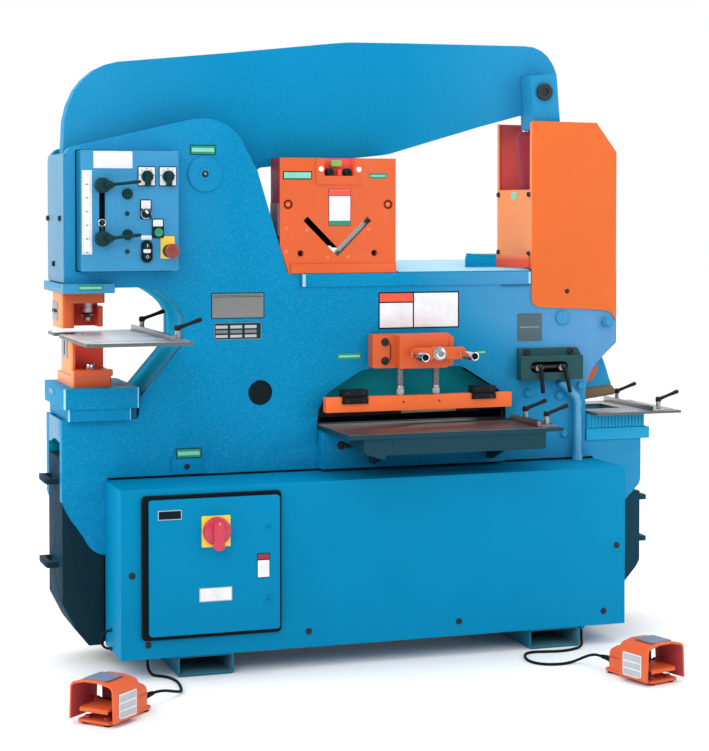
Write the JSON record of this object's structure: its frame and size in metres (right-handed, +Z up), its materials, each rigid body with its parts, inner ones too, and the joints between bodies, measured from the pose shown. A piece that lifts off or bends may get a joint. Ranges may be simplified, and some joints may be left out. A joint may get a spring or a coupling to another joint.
{
  "type": "ironworker machine",
  "caption": "Hydraulic ironworker with punch, angle shear, flat-bar shear, lever block and notcher on a two-plate frame with rocking beams, cabinet base and corded foot switches.",
  "frame": {"origin": "on the floor, under the middle of the box around the machine and its foot switches", "axes": "+X to the right along the machine towards the notcher, +Y to the back, +Z up"},
  "size_m": [2.0422, 1.2182, 1.83],
  "materials": {
    "frame_blue": "stippled gloss paint",
    "pale_blue": "stippled gloss paint",
    "tank_blue": "dark paint",
    "tube_teal": "satin paint",
    "orange": "gloss paint",
    "dark_green_grey": "satin paint",
    "steel": "ground",
    "tool_steel": "heat-treated",
    "table_alloy": "machined",
    "rod_chrome": "polished",
    "dark_bolt": "black oxide",
    "black_plastic": "moulded",
    "white_plastic": "moulded",
    "green_plastic": "moulded",
    "red_plastic": "moulded",
    "black_rubber": "moulded",
    "panel_grey": "satin paint"
  },
  "bodies": {
    "frame": {"front_side_plate": "frame_blue", "rear_side_plate": "frame_blue", "frame_spacers": "frame_blue", "frame_covers": "pale_blue", "pivot_pins": "pale_blue", "base_tank": "tank_blue", "fork_tubes": "tube_teal", "front_cabinet": "frame_blue", "door_seal": "black_rubber", "electrical_panel": "panel_grey", "power_unit": "tank_blue", "control_box": "frame_blue", "stripper_housing": "orange", "die_holder": "orange", "station_blocks": "frame_blue", "gauge_tables": "table_alloy", "fixed_blades": "steel", "angle_housing": "orange", "shear_table": "steel", "holddown_housing": "orange", "cylinder_guard": "orange", "lever_block": "dark_green_grey", "frame_fasteners": "dark_bolt", "foot_switch_housings": "orange", "pedal_cord_left": "black_rubber", "pedal_cord_right": "black_rubber"},
    "punch_beam_body": {"punch_beam": "pale_blue", "beam_end_pin": "dark_bolt"},
    "punch_ram_body": {"punch_ram": "steel"},
    "punch_barrel_body": {"punch_cylinder_barrel": "tank_blue"},
    "punch_rod_body": {"punch_cylinder_rod": "rod_chrome", "rod_clevis": "pale_blue"},
    "shear_beam_body": {"shear_beam": "frame_blue", "moving_blades": "tool_steel"},
    "shear_rod_body": {"shear_cylinder_rod": "rod_chrome"},
    "holddown_bar_body": {"holddown_bar": "orange"},
    "holddown_crank_body": {"holddown_crank": "orange"},
    "door_body": {"enclosure_door": "frame_blue"},
    "disconnect_body": {"disconnect_handle": "red_plastic"},
    "start_body": {"start_button": "green_plastic"},
    "on_body": {"on_button": "white_plastic"},
    "off_body": {"off_button": "black_plastic"},
    "estop_body": {"estop_button": "red_plastic"},
    "selector_body": {"mode_selector": "black_plastic"},
    "cam_left_body": {"cam_switch_left": "black_plastic"},
    "cam_right_body": {"cam_switch_right": "black_plastic"},
    "stop_upper_body": {"stroke_stop_upper": "black_plastic"},
    "stop_lower_body": {"stroke_stop_lower": "black_plastic"},
    "punch_fence_body": {"punch_fence": "steel"},
    "punch_lever_rear_body": {"punch_lever_rear": "black_plastic"},
    "punch_lever_front_body": {"punch_lever_front": "black_plastic"},
    "shear_fence_body": {"shear_fence": "steel"},
    "shear_lever_rear_body": {"shear_lever_rear": "black_plastic"},
    "shear_lever_front_body": {"shear_lever_front": "black_plastic"},
    "notcher_fence_body": {"notcher_fence": "steel"},
    "notcher_lever_rear_body": {"notcher_lever_rear": "black_plastic"},
    "notcher_lever_front_body": {"notcher_lever_front": "black_plastic"},
    "block_levers_body": {"block_levers": "black_plastic"},
    "treadle_left_body": {"treadle_left": "black_plastic"},
    "treadle_right_body": {"treadle_right": "black_plastic"}
  },
  "joints": [
    {"name": "punch_beam_pivot", "type": "hinge", "parent": "frame", "child": "punch_beam_body", "pos_m": [-0.5104, 0.26456, 1.421], "axis": [0, -1, 0], "range_deg": [0, 8]},
    {"name": "punch_ram_slide", "type": "slide", "parent": "frame", "child": "punch_ram_body", "axis": [0, 0, -1], "range_m": [0, 0.045]},
    {"name": "punch_cylinder_pivot", "type": "hinge", "parent": "frame", "child": "punch_barrel_body", "pos_m": [0.6336, 0.26456, 0.981], "axis": [0, -1, 0], "range_deg": [0, 2.33]},
    {"name": "punch_rod_slide", "type": "slide", "parent": "punch_barrel_body", "child": "punch_rod_body", "axis": [-0.081, 0, 0.9967], "range_m": [0, 0.1535]},
    {"name": "shear_beam_pivot", "type": "hinge", "parent": "frame", "child": "shear_beam_body", "pos_m": [-0.5674, 0.23706, 0.567], "axis": [0, 1, 0], "range_deg": [0, 2.5]},
    {"name": "shear_rod_slide", "type": "slide", "parent": "frame", "child": "shear_rod_body", "axis": [0, 0, -1], "range_m": [0, 0.0516]},
    {"name": "holddown_slide", "type": "slide", "parent": "frame", "child": "holddown_bar_body", "axis": [0, 0, -1], "range_m": [0, 0.036]},
    {"name": "crank_turn", "type": "hinge", "parent": "frame", "child": "holddown_crank_body", "pos_m": [0.1796, 0.03206, 0.8875], "axis": [0, 1, 0], "range_deg": [0, 720.1]},
    {"name": "door_hinge", "type": "hinge", "parent": "frame", "child": "door_body", "pos_m": [-0.7334, -0.11594, 0.317], "axis": [0, 0, -1], "range_deg": [0, 110]},
    {"name": "disconnect_turn", "type": "hinge", "parent": "door_body", "child": "disconnect_body", "pos_m": [-0.5434, -0.12794, 0.416], "axis": [0, 1, 0], "range_deg": [0, 90]},
    {"name": "start_press", "type": "slide", "parent": "frame", "child": "start_body", "axis": [0, 1, 0], "range_m": [0, 0.004], "stiffness_N_per_m": 600, "springref_m": -0.002},
    {"name": "on_press", "type": "slide", "parent": "frame", "child": "on_body", "axis": [0, 1, 0], "range_m": [0, 0.003], "stiffness_N_per_m": 600, "springref_m": -0.002},
    {"name": "off_press", "type": "slide", "parent": "frame", "child": "off_body", "axis": [0, 1, 0], "range_m": [0, 0.003], "stiffness_N_per_m": 600, "springref_m": -0.002},
    {"name": "estop_press", "type": "slide", "parent": "frame", "child": "estop_body", "axis": [0, 1, 0], "range_m": [0, 0.005], "stiffness_N_per_m": 900, "springref_m": -0.002},
    {"name": "selector_turn", "type": "hinge", "parent": "frame", "child": "selector_body", "pos_m": [-0.7024, 0.05206, 1.306], "axis": [0, 1, 0], "range_deg": [0, 80]},
    {"name": "cam_left_turn", "type": "hinge", "parent": "frame", "child": "cam_left_body", "pos_m": [-0.6994, 0.05206, 1.412], "axis": [0, 1, 0], "range_deg": [-45, 45]},
    {"name": "cam_right_turn", "type": "hinge", "parent": "frame", "child": "cam_right_body", "pos_m": [-0.6379, 0.05206, 1.412], "axis": [0, 1, 0], "range_deg": [-45, 45]},
    {"name": "stop_upper_slide", "type": "slide", "parent": "frame", "child": "stop_upper_body", "axis": [0, 0, 1], "range_m": [-0.05, 0.012]},
    {"name": "stop_lower_slide", "type": "slide", "parent": "frame", "child": "stop_lower_body", "axis": [0, 0, 1], "range_m": [-0.012, 0.05]},
    {"name": "punch_fence_slide", "type": "slide", "parent": "frame", "child": "punch_fence_body", "axis": [1, 0, 0], "range_m": [-0.1, 0]},
    {"name": "punch_lever_rear_turn", "type": "hinge", "parent": "punch_fence_body", "child": "punch_lever_rear_body", "pos_m": [-0.6564, 0.32806, 0.96], "axis": [0, 0, 1], "range_deg": [-60, 60]},
    {"name": "punch_lever_front_turn", "type": "hinge", "parent": "punch_fence_body", "child": "punch_lever_front_body", "pos_m": [-0.6564, -0.12994, 0.96], "axis": [0, 0, 1], "range_deg": [-60, 60]},
    {"name": "shear_fence_slide", "type": "slide", "parent": "frame", "child": "shear_fence_body", "axis": [1, 0, 0], "range_m": [-0.2, 0]},
    {"name": "shear_lever_rear_turn", "type": "hinge", "parent": "shear_fence_body", "child": "shear_lever_rear_body", "pos_m": [0.4706, 0.04206, 0.681], "axis": [0, 0, 1], "range_deg": [-75, 0]},
    {"name": "shear_lever_front_turn", "type": "hinge", "parent": "shear_fence_body", "child": "shear_lever_front_body", "pos_m": [0.4706, -0.11394, 0.681], "axis": [0, 0, 1], "range_deg": [-60, 60]},
    {"name": "notcher_fence_slide", "type": "slide", "parent": "frame", "child": "notcher_fence_body", "axis": [1, 0, 0], "range_m": [-0.04, 0.04]},
    {"name": "notcher_lever_rear_turn", "type": "hinge", "parent": "notcher_fence_body", "child": "notcher_lever_rear_body", "pos_m": [0.9486, 0.38406, 0.69], "axis": [0, 0, 1], "range_deg": [-60, 60]},
    {"name": "notcher_lever_front_turn", "type": "hinge", "parent": "notcher_fence_body", "child": "notcher_lever_front_body", "pos_m": [0.9486, 0.09206, 0.69], "axis": [0, 0, 1], "range_deg": [-60, 60]},
    {"name": "block_lever_swing", "type": "hinge", "parent": "frame", "child": "block_levers_body", "pos_m": [0.5706, 0.09806, 0.832], "axis": [-1, 0, 0], "range_deg": [0, 25]},
    {"name": "treadle_left_press", "type": "hinge", "parent": "frame", "child": "treadle_left_body", "pos_m": [-0.89807, -0.43769, 0.042], "axis": [0.682, -0.7314, 0], "range_deg": [0, 8], "stiffness_Nm_per_rad": 20, "springref_deg": -2.86},
    {"name": "treadle_right_press", "type": "hinge", "parent": "frame", "child": "treadle_right_body", "pos_m": [0.59094, -0.49145, 0.042], "axis": [0.9659, 0.2588, 0], "range_deg": [0, 8], "stiffness_Nm_per_rad": 20, "springref_deg": -2.86}
  ],
  "couplings": [
    {"joint": "punch_ram_slide", "follows": "punch_beam_pivot", "m_per_rad": 0.3212},
    {"joint": "punch_cylinder_pivot", "follows": "punch_beam_pivot", "ratio": 0.2903},
    {"joint": "punch_rod_slide", "follows": "punch_beam_pivot", "m_per_rad": 1.094},
    {"joint": "shear_rod_slide", "follows": "shear_beam_pivot", "m_per_rad": 1.1776},
    {"joint": "crank_turn", "follows": "holddown_slide", "rad_per_m": 349.07}
  ]
}
